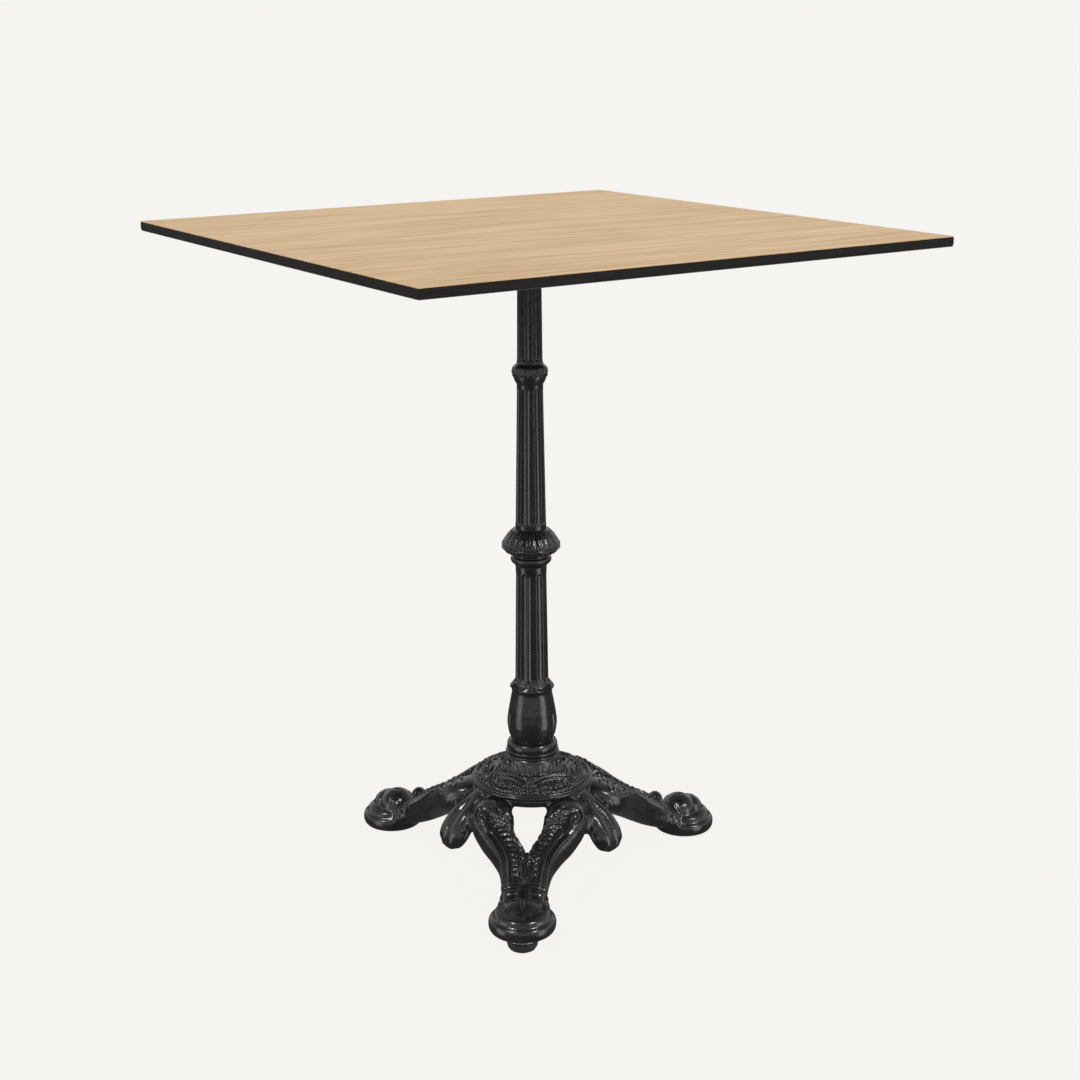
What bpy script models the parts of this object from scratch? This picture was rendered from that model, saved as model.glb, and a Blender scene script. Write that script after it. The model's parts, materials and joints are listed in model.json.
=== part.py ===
"""Bistro table: a square laminate top on a fluted cast-iron column and a three-legged base.

Frame: +Z up, origin on the floor under the middle of the top, +X and +Y along the top's edges.
Radial shapes are drawn along +X and then turned to their own direction about Z.
"""
import math

import bmesh
import bpy
from mathutils import Matrix, Vector

# Driving dimensions, in metres
TABLE_HEIGHT = 0.710
TOP_SIDE = 0.600
SHEET_THICKNESS = 0.0008
CORE_THICKNESS = 0.008
GAP = 0.0003

FRONT_LEG_ANGLE = math.radians(-126.2)
LEG_ANGLES = [FRONT_LEG_ANGLE + turn * math.tau / 3 for turn in range(3)]
FOOT_RADIUS = 0.198
FOOT_LIFT = 0.021

ROD_RADIUS = 0.006
BORE_RADIUS = 0.0075
COLUMN_FLUTES = 12

SPIDER_REACH = 0.120
SPIDER_SCREW_RADIUS = 0.105
SPIDER_ARM_THICKNESS = 0.006
SCREW_RADIUS = 0.0028
INSERT_BORE = 0.0032
INSERT_RADIUS = 0.0048

GLIDE_STEM_RADIUS = 0.005
GLIDE_BORE = 0.0053
GLIDE_BUSH_RADIUS = 0.008
GLIDE_BUSH_TOP = FOOT_LIFT + 0.0150
GLIDE_STEM_TOP = FOOT_LIFT + 0.0195

# Heights worked out from the table height downwards
FACE_TOP = TABLE_HEIGHT
FACE_BOTTOM = FACE_TOP - SHEET_THICKNESS
CORE_TOP = FACE_BOTTOM - GAP
CORE_BOTTOM = CORE_TOP - CORE_THICKNESS
BACK_TOP = CORE_BOTTOM - GAP
BACK_BOTTOM = BACK_TOP - SHEET_THICKNESS
SPIDER_TOP = BACK_BOTTOM - GAP
ARM_BOTTOM = SPIDER_TOP - SPIDER_ARM_THICKNESS
SPIDER_BOTTOM = 0.676
COLUMN_TOP = SPIDER_BOTTOM - GAP
COLLAR_TOP = 0.392
COLLAR_BOTTOM = 0.351
VASE_BOTTOM = 0.150
DOME_TOP = VASE_BOTTOM - GAP
DOME_RIM = 0.103
HUB_TOP = DOME_RIM - GAP
HUB_BOTTOM = 0.092
PLATE_THICKNESS = 0.006

CAST_IRON = ("black_cast_iron", (0.020, 0.020, 0.021), 0.32, 0.35)
OAK = ("oak_laminate", (0.66, 0.47, 0.28), 0.45, 0.0)
CORE = ("compact_core", (0.030, 0.028, 0.027), 0.55, 0.0)
BACKING = ("backing_laminate", (0.045, 0.043, 0.042), 0.6, 0.0)
STEEL = ("zinc_steel", (0.62, 0.62, 0.60), 0.35, 1.0)
BRASS = ("brass", (0.75, 0.58, 0.28), 0.35, 1.0)
NYLON = ("black_nylon", (0.018, 0.018, 0.018), 0.55, 0.0)


def clear_scene():
    for item in list(bpy.data.objects):
        bpy.data.objects.remove(item, do_unlink=True)


def finish_material(finish):
    name, colour, roughness, metallic = finish
    material = bpy.data.materials.get(name)
    if material is None:
        material = bpy.data.materials.new(name)
        material.use_nodes = True
        shader = material.node_tree.nodes["Principled BSDF"]
        shader.inputs["Base Color"].default_value = (*colour, 1.0)
        shader.inputs["Roughness"].default_value = roughness
        shader.inputs["Metallic"].default_value = metallic
    return material


def add_object(name, bm, finish, smooth_angle=math.radians(40)):
    """Turns a bmesh into a linked object with outward faces and its finish."""
    bmesh.ops.recalc_face_normals(bm, faces=bm.faces)
    mesh = bpy.data.meshes.new(name)
    bm.to_mesh(mesh)
    bm.free()
    mesh.shade_smooth()
    mesh.set_sharp_from_angle(angle=smooth_angle)
    made = bpy.data.objects.new(name, mesh)
    bpy.context.scene.collection.objects.link(made)
    if finish is not None:
        mesh.materials.append(finish_material(finish))
    return made


def hide_helper(helper):
    helper.hide_render = True
    helper.display_type = "WIRE"


def combine(target, other, operation, solver="EXACT"):
    """Adds a Boolean of another object, which then stays as a hidden helper."""
    modifier = target.modifiers.new(operation.lower(), "BOOLEAN")
    modifier.operation = operation
    modifier.solver = solver
    modifier.object = other
    hide_helper(other)


def turned_mesh(outline, steps):
    """A closed outline of (radius, height) points, spun a whole turn about Z."""
    bm = bmesh.new()
    points = [bm.verts.new((radius, 0.0, height)) for radius, height in outline]
    edges = [bm.edges.new((points[i - 1], points[i])) for i in range(len(points))]
    bmesh.ops.spin(
        bm, geom=points + edges, cent=(0, 0, 0), axis=(0, 0, 1),
        angle=math.tau, steps=steps, use_merge=True,
    )
    bmesh.ops.remove_doubles(bm, verts=bm.verts, dist=1e-6)
    bmesh.ops.dissolve_degenerate(bm, edges=bm.edges, dist=1e-7)
    return bm


def turned(name, outline, steps, finish, at=(0.0, 0.0, 0.0)):
    made = add_object(name, turned_mesh(outline, steps), finish)
    made.location = at
    return made


def ring(name, inner, outer, bottom, top, steps, finish, at=(0.0, 0.0, 0.0)):
    outline = [(inner, bottom), (outer, bottom), (outer, top), (inner, top)]
    return turned(name, outline, steps, finish, at)


def slab(name, side, bottom, top, finish, edge=0.0004):
    """A square board with its long edges eased."""
    bm = bmesh.new()
    bmesh.ops.create_cube(bm, size=1.0)
    bmesh.ops.scale(bm, vec=(side, side, top - bottom), verts=bm.verts)
    bmesh.ops.translate(bm, vec=(0, 0, (top + bottom) / 2), verts=bm.verts)
    if edge > 0:
        bmesh.ops.bevel(bm, geom=bm.edges, offset=edge, segments=1, affect="EDGES", profile=0.5)
    return add_object(name, bm, finish)


def rod_mesh(radius, bottom, top, steps, chamfer=0.0):
    outline = [(0, bottom), (radius - chamfer, bottom)]
    if chamfer > 0:
        outline += [(radius, bottom + chamfer), (radius, top - chamfer)]
    else:
        outline += [(radius, top)]
    if chamfer > 0:
        outline += [(radius - chamfer, top)]
    outline += [(0, top)]
    return turned_mesh(outline, steps)


def cutter(radius, bottom, top, at, steps=20):
    made = add_object("cutter", rod_mesh(radius, bottom, top, steps), None)
    made.location = at
    return made


def hexagon_ring(name, across_flats, inner, bottom, top, finish):
    """A hexagon nut with a round bore."""
    bm = bmesh.new()
    corner = across_flats / 2 / math.cos(math.pi / 6)
    bmesh.ops.create_cone(
        bm, cap_ends=True, segments=6, radius1=corner, radius2=corner, depth=top - bottom,
        matrix=Matrix.Translation((0, 0, (top + bottom) / 2)),
    )
    made = add_object(name, bm, finish)
    combine(made, cutter(inner, bottom - 0.01, top + 0.01, (0, 0, 0)), "DIFFERENCE")
    return made


def superellipse(half_width, half_height, sides, power=2.6):
    """Points of a rounded section, as (sideways, upwards) pairs."""
    points = []
    for index in range(sides):
        turn = math.tau * (index + 0.5) / sides
        cosine = math.cos(turn)
        sine = math.sin(turn)
        wide = math.copysign(abs(cosine) ** (2 / power), cosine) * half_width
        high = math.copysign(abs(sine) ** (2 / power), sine) * half_height
        points.append((wide, high))
    return points


def loft_mesh(stations, sides=8):
    """A capped sweep through stations of (x, y, z, half width, half height), its height kept upright."""
    bm = bmesh.new()
    centres = [Vector(station[:3]) for station in stations]
    rows = []
    for index, station in enumerate(stations):
        before = centres[max(index - 1, 0)]
        after = centres[min(index + 1, len(stations) - 1)]
        along = (after - before).normalized()
        sideways = Vector((0, 0, 1)).cross(along).normalized()
        upwards = along.cross(sideways)
        section = superellipse(station[3], station[4], sides)
        rows.append([
            bm.verts.new(centres[index] + sideways * wide + upwards * high)
            for wide, high in section
        ])
    for first, second in zip(rows, rows[1:]):
        for index in range(sides):
            following = (index + 1) % sides
            bm.faces.new((first[index], first[following], second[following], second[index]))
    bm.faces.new(rows[0])
    bm.faces.new(rows[-1])
    return bm


def ball_mesh(centre, radii, segments=14, rings=7):
    bm = bmesh.new()
    bmesh.ops.create_uvsphere(bm, u_segments=segments, v_segments=rings, radius=1.0)
    bmesh.ops.scale(bm, vec=radii, verts=bm.verts)
    bmesh.ops.translate(bm, vec=centre, verts=bm.verts)
    return bm


def fluted_tube(name, rows, finish, flutes=COLUMN_FLUTES, samples=4):
    """A bored column. Each row is (height, radius, flute depth, lobe height); lobes are three-fold."""
    bm = bmesh.new()
    count = flutes * samples
    turns = [math.tau * index / count for index in range(count)]
    loops = []
    for height, radius, depth, lobe in rows:
        loop = []
        for turn in turns:
            scoop = depth * (0.5 - 0.5 * math.cos(flutes * turn)) ** 0.7
            swell = lobe * math.cos(3 * (turn - FRONT_LEG_ANGLE))
            reach = radius - scoop + swell
            loop.append(bm.verts.new((reach * math.cos(turn), reach * math.sin(turn), height)))
        loops.append(loop)
    for height in (rows[-1][0], rows[0][0]):
        loops.append([
            bm.verts.new((BORE_RADIUS * math.cos(turn), BORE_RADIUS * math.sin(turn), height))
            for turn in turns
        ])
    for index in range(len(loops)):
        first = loops[index - 1]
        second = loops[index]
        for place in range(count):
            following = (place + 1) % count
            bm.faces.new((first[place], first[following], second[following], second[place]))
    return add_object(name, bm, finish)


def insert_places():
    """Where the four screws go, one on each diagonal arm of the spider."""
    reach = SPIDER_SCREW_RADIUS / math.sqrt(2)
    return [(x * reach, y * reach, 0.0) for x in (-1, 1) for y in (-1, 1)]


def build_top():
    slab("oak_face_sheet", TOP_SIDE, FACE_BOTTOM, FACE_TOP, OAK, edge=0.0003)
    core = slab("top_core", TOP_SIDE, CORE_BOTTOM, CORE_TOP, CORE)
    backing = slab("underside_sheet", TOP_SIDE - 0.001, BACK_BOTTOM, BACK_TOP, BACKING, edge=0.0002)
    for number, place in enumerate(insert_places(), start=1):
        pocket_top = CORE_BOTTOM + 0.0068
        pocket = cutter(INSERT_RADIUS + GAP, CORE_BOTTOM - 0.002, pocket_top, place, 16)
        combine(core, pocket, "DIFFERENCE")
        passage = cutter(INSERT_RADIUS + GAP, BACK_BOTTOM - 0.002, BACK_TOP + 0.0002, place, 16)
        combine(backing, passage, "DIFFERENCE")
        ring(
            f"threaded_insert_{number}", INSERT_BORE, INSERT_RADIUS,
            CORE_BOTTOM + 0.0002, pocket_top - GAP, 12, BRASS, place,
        )


def build_spider():
    """The cross plate that carries the top, with a deep pocket for the rod's nut."""
    hub = [
        (BORE_RADIUS, SPIDER_BOTTOM), (0.0150, SPIDER_BOTTOM), (0.0185, SPIDER_BOTTOM + 0.004),
        (0.0215, ARM_BOTTOM - 0.002), (0.0250, ARM_BOTTOM), (0.0250, SPIDER_TOP),
        (0.0145, SPIDER_TOP), (0.0145, SPIDER_BOTTOM + 0.008), (BORE_RADIUS, SPIDER_BOTTOM + 0.008),
    ]
    spider = turned("mounting_spider", hub, 24, CAST_IRON)
    middle = (SPIDER_TOP + ARM_BOTTOM) / 2
    for place in insert_places():
        direction = math.atan2(place[1], place[0])
        bm = bmesh.new()
        outline = [(0.018, -0.014), (SPIDER_REACH - 0.008, -0.011), (SPIDER_REACH, -0.005)]
        corners = outline + [(x, -y) for x, y in reversed(outline)]
        low = [bm.verts.new((x, y, middle - SPIDER_ARM_THICKNESS / 2)) for x, y in corners]
        face = bm.faces.new(low)
        raised = bmesh.ops.extrude_face_region(bm, geom=[face])["geom"]
        lifted = [item for item in raised if isinstance(item, bmesh.types.BMVert)]
        bmesh.ops.translate(bm, vec=(0, 0, SPIDER_ARM_THICKNESS), verts=lifted)
        arm = add_object("spider_arm", bm, None)
        arm.rotation_euler = (0, 0, direction)
        combine(spider, arm, "UNION")
    for place in insert_places():
        combine(spider, cutter(0.0034, ARM_BOTTOM - 0.002, SPIDER_TOP + 0.002, place, 16), "DIFFERENCE")


def build_spider_fasteners():
    washer_top = ARM_BOTTOM - GAP
    washer_bottom = washer_top - 0.0012
    head_top = washer_bottom - GAP
    head_bottom = head_top - 0.0035
    for number, place in enumerate(insert_places(), start=1):
        ring(f"spider_washer_{number}", 0.0033, 0.0064, washer_bottom, washer_top, 16, STEEL, place)
        outline = [
            (0, head_bottom + 0.0022), (0.0020, head_bottom + 0.0022), (0.0020, head_bottom),
            (0.0042, head_bottom), (0.0054, head_bottom + 0.0012), (0.0054, head_top),
            (SCREW_RADIUS, head_top), (SCREW_RADIUS, CORE_BOTTOM + 0.0055),
            (0, CORE_BOTTOM + 0.0055),
        ]
        turned(f"spider_screw_{number}", outline, 12, STEEL, place)


def build_upper_column():
    foot = COLLAR_TOP + GAP
    rows = [
        (foot, 0.0166, 0.0, 0.0), (foot + 0.004, 0.0165, 0.0, 0.0),
        (foot + 0.010, 0.0164, 0.0020, 0.0), (0.536, 0.0141, 0.0019, 0.0),
        (0.543, 0.0140, 0.0, 0.0), (0.550, 0.0140, 0.0, 0.0), (0.5525, 0.0160, 0.0, 0.0),
        (0.557, 0.0181, 0.0, 0.0), (0.562, 0.0183, 0.0, 0.0), (0.567, 0.0170, 0.0, 0.0),
        (0.5715, 0.0137, 0.0, 0.0), (0.577, 0.0135, 0.0018, 0.0), (0.660, 0.0128, 0.0017, 0.0),
        (0.667, 0.0130, 0.0, 0.0), (COLUMN_TOP, 0.0148, 0.0, 0.0),
    ]
    fluted_tube("upper_column", rows, CAST_IRON)


def build_mid_collar():
    outline = [
        (BORE_RADIUS, COLLAR_BOTTOM), (0.0180, COLLAR_BOTTOM), (0.0190, 0.3535),
        (0.0222, 0.3565), (0.0222, 0.3605), (0.0200, 0.3630), (0.0212, 0.3650),
        (0.0290, 0.3690), (0.0318, 0.3730), (0.0300, 0.3775), (0.0262, 0.3830),
        (0.0215, 0.3880), (0.0172, COLLAR_TOP), (BORE_RADIUS, COLLAR_TOP),
    ]
    turned("mid_collar", outline, 32, CAST_IRON)


def build_lower_column():
    top = COLLAR_BOTTOM - GAP
    rows = [
        (VASE_BOTTOM, 0.0240, 0.0, 0.0), (0.1540, 0.0245, 0.0, 0.0), (0.1610, 0.0262, 0.0, 0.0006),
        (0.1710, 0.0272, 0.0, 0.0010), (0.1850, 0.0258, 0.0, 0.0012), (0.2000, 0.0234, 0.0, 0.0008),
        (0.2110, 0.0217, 0.0, 0.0), (0.2160, 0.0214, 0.0, 0.0), (0.2190, 0.0190, 0.0, 0.0),
        (0.2240, 0.0183, 0.0020, 0.0), (0.3380, 0.0168, 0.0020, 0.0), (0.3440, 0.0167, 0.0, 0.0),
        (top, 0.0168, 0.0, 0.0),
    ]
    fluted_tube("lower_column", rows, CAST_IRON)


def build_base_dome():
    """Plain band, two thin rings and a flare over a low hollow dome that opens downwards."""
    outline = [
        (BORE_RADIUS, DOME_TOP), (0.0262, DOME_TOP), (0.0274, 0.1478), (0.0279, 0.1445), (0.0272, 0.1412),
    ]
    for number in range(2):
        middle = 0.1394 - 0.0042 * number
        reach = 0.0273 + 0.0008 * number
        outline += [(reach, middle + 0.0013), (reach + 0.0012, middle), (reach, middle - 0.0013)]
    outline += [
        (0.0290, 0.1320), (0.0308, 0.1260), (0.0322, 0.1200), (0.0400, 0.1178), (0.0500, 0.1150),
        (0.0585, 0.1115), (0.0645, 0.1080), (0.0672, 0.1060), (0.0672, DOME_RIM), (0.0600, DOME_RIM),
        (0.0560, 0.1060), (0.0470, 0.1100), (0.0360, 0.1125), (0.0240, 0.1125),
        (0.0240, DOME_RIM), (BORE_RADIUS, DOME_RIM),
    ]
    turned("base_dome", outline, 32, CAST_IRON)


def place_radially(made, angle, lift=0.0):
    made.rotation_euler = (0, 0, angle)
    made.location = (0, 0, lift)


def leg_branch(side, lift):
    """One arm of a leg's V, from the hub, over the knee and down to the ankle.

    The lift raises the ankle of the leg whose foot stands on the glide, over a flatter ball.
    """
    level = [
        (0.046, side * 0.0260, 0.0965, 0.0120, 0.0055), (0.060, side * 0.0380, 0.0895, 0.0185, 0.0120),
        (0.074, side * 0.0410, 0.0800, 0.0205, 0.0160), (0.090, side * 0.0335, 0.0690, 0.0195, 0.0165),
        (0.107, side * 0.0230, 0.0570, 0.0175, 0.0160), (0.125, side * 0.0148, 0.0450, 0.0155, 0.0160),
        (0.145, side * 0.0115, 0.0335, 0.0142, 0.0155), (0.163, side * 0.0095, 0.0240, 0.0145, 0.0130),
        (0.182, side * 0.0080, 0.0180, 0.0140, 0.0090),
    ]
    raised = []
    for x, y, z, half_width, half_height in level:
        share = min(max((x - 0.090) / 0.080, 0.0), 1.0)
        raised.append((x, y, z + lift * share, half_width, half_height))
    return raised


def leg_spine(lift):
    """Fills the ankle between the two arms, from the bottom of the V to the foot."""
    return [
        (0.121, 0, 0.0475 + lift * 0.4, 0.0100, 0.0125), (0.145, 0, 0.0335 + lift * 0.7, 0.0110, 0.0125),
        (0.166, 0, 0.0235 + lift, 0.0110, 0.0115), (0.192, 0, 0.0175 + lift, 0.0110, 0.0080),
    ]


def foot_outline():
    """The stepped disc of a foot, from its flat sole to its upper tier."""
    return [
        (0, 0), (0.0290, 0), (0.0335, 0.0025), (0.0350, 0.0070), (0.0348, 0.0110),
        (0.0320, 0.0150), (0.0285, 0.0165), (0.0285, 0.0195), (0.0262, 0.0225), (0, 0.0225),
    ]


def leg_shapes(lift):
    """The pieces of one leg along +X, to be joined into the casting."""
    branches = [loft_mesh(leg_branch(side, lift)) for side in (-1, 1)]
    foot = turned_mesh(foot_outline(), 24)
    bmesh.ops.translate(foot, vec=(FOOT_RADIUS, 0, lift), verts=foot.verts)
    ball = ball_mesh((FOOT_RADIUS - 0.001, 0, 0.0240 + lift * 0.6), (0.0225, 0.0215, 0.0185 - lift * 0.25))
    cuff = ball_mesh((0.157, 0, 0.0345 + lift * 0.3), (0.0095, 0.0235, 0.0130), 12, 6)
    return branches + [loft_mesh(leg_spine(lift)), foot, ball, cuff]


def tongue():
    """A hanging tongue between two legs."""
    return [
        (0.048, 0, 0.0975, 0.0110, 0.0045), (0.064, 0, 0.0915, 0.0145, 0.0080),
        (0.078, 0, 0.0790, 0.0180, 0.0090), (0.090, 0, 0.0640, 0.0212, 0.0095),
        (0.0985, 0, 0.0530, 0.0205, 0.0092), (0.103, 0, 0.0465, 0.0150, 0.0068),
        (0.1052, 0, 0.0430, 0.0080, 0.0038),
    ]


def web(side):
    """The arched web that ties a tongue to the next leg."""
    return [
        (0.0860, side * 0.002, 0.0705, 0.0050, 0.0125), (0.0830, side * 0.019, 0.0735, 0.0055, 0.0110),
        (0.0755, side * 0.033, 0.0760, 0.0055, 0.0115), (0.0660, side * 0.046, 0.0790, 0.0050, 0.0110),
    ]


def build_tripod():
    """Hub, three legs, three tongues and their webs, joined into one casting."""
    hub = [
        (BORE_RADIUS, HUB_BOTTOM), (0.0580, HUB_BOTTOM), (0.0655, HUB_BOTTOM + 0.004),
        (0.0655, HUB_TOP), (BORE_RADIUS, HUB_TOP),
    ]
    casting = turned("tripod_base", hub, 36, CAST_IRON)
    for number, angle in enumerate(LEG_ANGLES):
        lift = FOOT_LIFT if number == 0 else 0.0
        shapes = leg_shapes(lift)
        for shape in shapes:
            piece = add_object("leg_shape", shape, None)
            place_radially(piece, angle)
            combine(casting, piece, "UNION", "MANIFOLD")
        for stations in (tongue(), web(-1), web(1)):
            piece = add_object("tongue_shape", loft_mesh(stations), None)
            place_radially(piece, angle + math.pi / 3)
            combine(casting, piece, "UNION", "MANIFOLD")
    axis = front_foot_axis()
    bush_hole = cutter(GLIDE_BUSH_RADIUS + GAP, 0.0, GLIDE_BUSH_TOP + 0.002, axis)
    stem_hole = cutter(GLIDE_STEM_RADIUS + 0.001, GLIDE_BUSH_TOP, GLIDE_STEM_TOP + 0.003, axis)
    combine(casting, bush_hole, "DIFFERENCE", "MANIFOLD")
    combine(casting, stem_hole, "DIFFERENCE", "MANIFOLD")


def build_rod_and_clamps():
    nut_height = 0.010
    pocket = SPIDER_BOTTOM + 0.008 + GAP
    ring("tie_rod_top_washer", 0.0063, 0.0118, pocket, pocket + 0.002, 24, STEEL)
    nut_bottom = pocket + 0.002 + GAP
    hexagon_ring("tie_rod_top_nut", 0.018, 0.0063, nut_bottom, nut_bottom + nut_height, STEEL)
    plate_top = HUB_BOTTOM - GAP
    plate_bottom = plate_top - PLATE_THICKNESS
    ring("clamping_plate", 0.0066, 0.0300, plate_bottom, plate_top, 32, STEEL)
    washer_top = plate_bottom - GAP
    ring("tie_rod_base_washer", 0.0063, 0.0118, washer_top - 0.002, washer_top, 24, STEEL)
    nut_top = washer_top - 0.002 - GAP
    hexagon_ring("tie_rod_base_nut", 0.018, 0.0063, nut_top - nut_height, nut_top, STEEL)
    rod = rod_mesh(ROD_RADIUS, nut_top - nut_height - 0.004, nut_bottom + nut_height + 0.001, 20, 0.001)
    add_object("tie_rod", rod, STEEL)


def front_foot_axis():
    return (FOOT_RADIUS * math.cos(FRONT_LEG_ANGLE), FOOT_RADIUS * math.sin(FRONT_LEG_ANGLE), 0.0)


def build_glide():
    """Levelling glide: cup and pad slide on the foot's axis, and the stem turns in the bush."""
    axis = front_foot_axis()
    cup_top = FOOT_LIFT - 0.0008
    cup_bottom = cup_top - 0.0090
    pad_top = cup_bottom - GAP
    stem_seat = cup_bottom + 0.0010
    ring("glide_bush", GLIDE_BORE, GLIDE_BUSH_RADIUS, FOOT_LIFT + GAP, GLIDE_BUSH_TOP, 24, BRASS, axis)
    cup = [
        (0, cup_bottom), (0.0155, cup_bottom), (0.0163, cup_bottom + 0.0010),
        (0.0163, cup_top - 0.0010), (0.0153, cup_top), (GLIDE_BORE, cup_top),
        (GLIDE_BORE, stem_seat), (0, stem_seat),
    ]
    turned("glide_cup", cup, 24, STEEL, axis)
    pad = [
        (0, 0), (0.0115, 0), (0.0138, 0.0014), (0.0155, 0.0042), (0.0163, 0.0078),
        (0.0163, pad_top), (0, pad_top),
    ]
    turned("glide_pad", pad, 24, NYLON, axis)
    stem_rod = rod_mesh(GLIDE_STEM_RADIUS, stem_seat + GAP, GLIDE_STEM_TOP, 24, 0.0006)
    stem = add_object("glide_stem", stem_rod, STEEL)
    stem.location = axis


clear_scene()
build_top()
build_spider()
build_spider_fasteners()
build_upper_column()
build_mid_collar()
build_lower_column()
build_base_dome()
build_tripod()
build_rod_and_clamps()
build_glide()
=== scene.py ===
"""Looks of the bistro table: relief castings, oak laminate top, hardware, studio and camera.

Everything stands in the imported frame: metres, +Z up, origin on the floor under the middle of the top.
"""
import json
import math

import bmesh
import bpy
import numpy as np
from mathutils import Matrix, Vector
from mathutils.kdtree import KDTree


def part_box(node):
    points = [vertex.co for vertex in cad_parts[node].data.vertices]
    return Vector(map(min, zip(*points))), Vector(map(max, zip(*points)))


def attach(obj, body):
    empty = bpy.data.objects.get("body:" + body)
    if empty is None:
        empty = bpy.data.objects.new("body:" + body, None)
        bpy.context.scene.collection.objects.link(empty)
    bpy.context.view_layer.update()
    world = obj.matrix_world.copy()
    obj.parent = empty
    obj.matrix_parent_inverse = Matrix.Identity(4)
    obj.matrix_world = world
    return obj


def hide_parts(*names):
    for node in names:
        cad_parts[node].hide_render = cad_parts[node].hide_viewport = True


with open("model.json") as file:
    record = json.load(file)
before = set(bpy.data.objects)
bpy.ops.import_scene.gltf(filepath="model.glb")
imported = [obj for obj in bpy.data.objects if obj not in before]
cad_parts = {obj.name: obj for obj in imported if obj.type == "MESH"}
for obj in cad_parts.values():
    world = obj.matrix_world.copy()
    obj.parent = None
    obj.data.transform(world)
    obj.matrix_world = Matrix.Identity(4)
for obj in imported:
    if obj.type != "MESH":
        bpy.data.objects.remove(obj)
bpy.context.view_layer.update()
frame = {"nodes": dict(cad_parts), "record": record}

# ---------------------------------------------------------------- places and sizes shared by the pieces
pad_low, pad_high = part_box("glide_pad")
FRONT_FOOT = (pad_low + pad_high) / 2
FOOT_RADIUS = math.hypot(FRONT_FOOT.x, FRONT_FOOT.y)
FRONT_ANGLE = math.atan2(FRONT_FOOT.y, FRONT_FOOT.x)
LEG_ANGLES = [FRONT_ANGLE + turn * math.tau / 3 for turn in range(3)]
HALF_LEG_GAP = math.pi / 3
FOOT_LIFT = 0.021
BORE = 0.0075
TABLE_BODY = "table"

# ---------------------------------------------------------------- studio and camera
CAMERA_ANGLE = math.radians(-122.9)
CAMERA_DISTANCE = 1.854
CAMERA_HEIGHT = 0.9196
CAMERA_PITCH = math.radians(16.28)
CAMERA_YAW = math.radians(0.30)
CAMERA_ROLL = math.radians(-0.30)
CAMERA_LENS = 60.0


# ================================================================ mesh helpers
def smoothstep(low, high, value):
    share = np.clip((value - low) / (high - low), 0.0, 1.0)
    return share * share * (3 - 2 * share)


def mesh_object(name, points, faces, material, smooth=True):
    mesh = bpy.data.meshes.new(name)
    mesh.from_pydata(points, [], faces)
    mesh.validate()
    mesh.update()
    if smooth:
        mesh.shade_smooth()
    made = bpy.data.objects.new(name, mesh)
    bpy.context.scene.collection.objects.link(made)
    if material is not None:
        mesh.materials.append(material)
    return made


def stand_for(piece, body, slot, *nodes):
    """The piece rides on a body and shows in place of its CAD nodes."""
    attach(piece, body)
    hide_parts(*nodes)


def ring_faces(rows, count):
    """Quads between neighbouring loops of a tube whose last loop joins its first one."""
    faces = []
    for row in range(rows):
        following_row = (row + 1) % rows
        for place in range(count):
            following = (place + 1) % count
            faces.append((
                row * count + place, row * count + following,
                following_row * count + following, following_row * count + place,
            ))
    return faces


def blurred_loop(points, width):
    """A closed row of points, each averaged with its neighbours by a bell curve."""
    reach = int(3 * width) + 1
    offsets = np.arange(-reach, reach + 1)
    weights = np.exp(-0.5 * (offsets / width) ** 2)
    weights /= weights.sum()
    return sum(w * np.roll(points, -offset, axis=0) for w, offset in zip(weights, offsets))


def rounded_outline(corners, spacing, rounding):
    """A closed (radius, height) outline cut to even spacing, with its corners rounded."""
    pieces = []
    for index, start in enumerate(corners):
        end = corners[(index + 1) % len(corners)]
        start = np.array(start)
        step = np.array(end) - start
        count = max(1, int(round(np.linalg.norm(step) / spacing)))
        pieces.append(start + step * (np.arange(count) / count)[:, None])
    dense = np.concatenate(pieces)
    return blurred_loop(dense, rounding / spacing)


def turned_piece(name, corners, steps, material, relief, spacing, rounding):
    """A bored turned casting. relief(turn, radius, height, normal) raises its skin along the normal."""
    outline = rounded_outline(corners, spacing, rounding)
    tangent = np.roll(outline, -1, axis=0) - np.roll(outline, 1, axis=0)
    tangent /= np.maximum(np.linalg.norm(tangent, axis=1, keepdims=True), 1e-9)
    normal = np.stack([tangent[:, 1], -tangent[:, 0]], axis=1)
    turns = math.tau * np.arange(steps) / steps
    turn, radius = np.meshgrid(turns, outline[:, 0])
    height = np.repeat(outline[:, 1:2], steps, axis=1)
    raised = relief(turn, radius, height, normal)
    radius = radius + raised * normal[:, 0:1]
    height = height + raised * normal[:, 1:2]
    points = np.stack([radius * np.cos(turn), radius * np.sin(turn), height], axis=2)
    faces = ring_faces(len(outline), steps)
    return mesh_object(name, points.reshape(-1, 3).tolist(), faces, material)


def bored_column(name, heights, steps, radius_at, material):
    """A bored column whose outside is radius_at(turn, height)."""
    turns = math.tau * np.arange(steps) / steps
    turn, height = np.meshgrid(turns, heights)
    outside = radius_at(turn, height)
    inside = np.full((2, steps), BORE)
    radius = np.concatenate([outside, inside])
    level = np.concatenate([height, np.full((1, steps), heights[-1]), np.full((1, steps), heights[0])])
    turn = np.concatenate([turn, turn[:2]])
    points = np.stack([radius * np.cos(turn), radius * np.sin(turn), level], axis=2)
    return mesh_object(name, points.reshape(-1, 3).tolist(), ring_faces(len(level), steps), material)


def graded_heights(low, high, fine_zones, fine=0.0005, coarse=0.006):
    """Heights from low to high, close together inside the fine zones."""
    heights = [low]
    while heights[-1] < high:
        at = heights[-1]
        near = any(start - coarse <= at <= end for start, end in fine_zones)
        heights.append(at + (fine if near else coarse))
    heights[-1] = high
    return np.array(heights)


PROFILE_STEP = 0.0002


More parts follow.
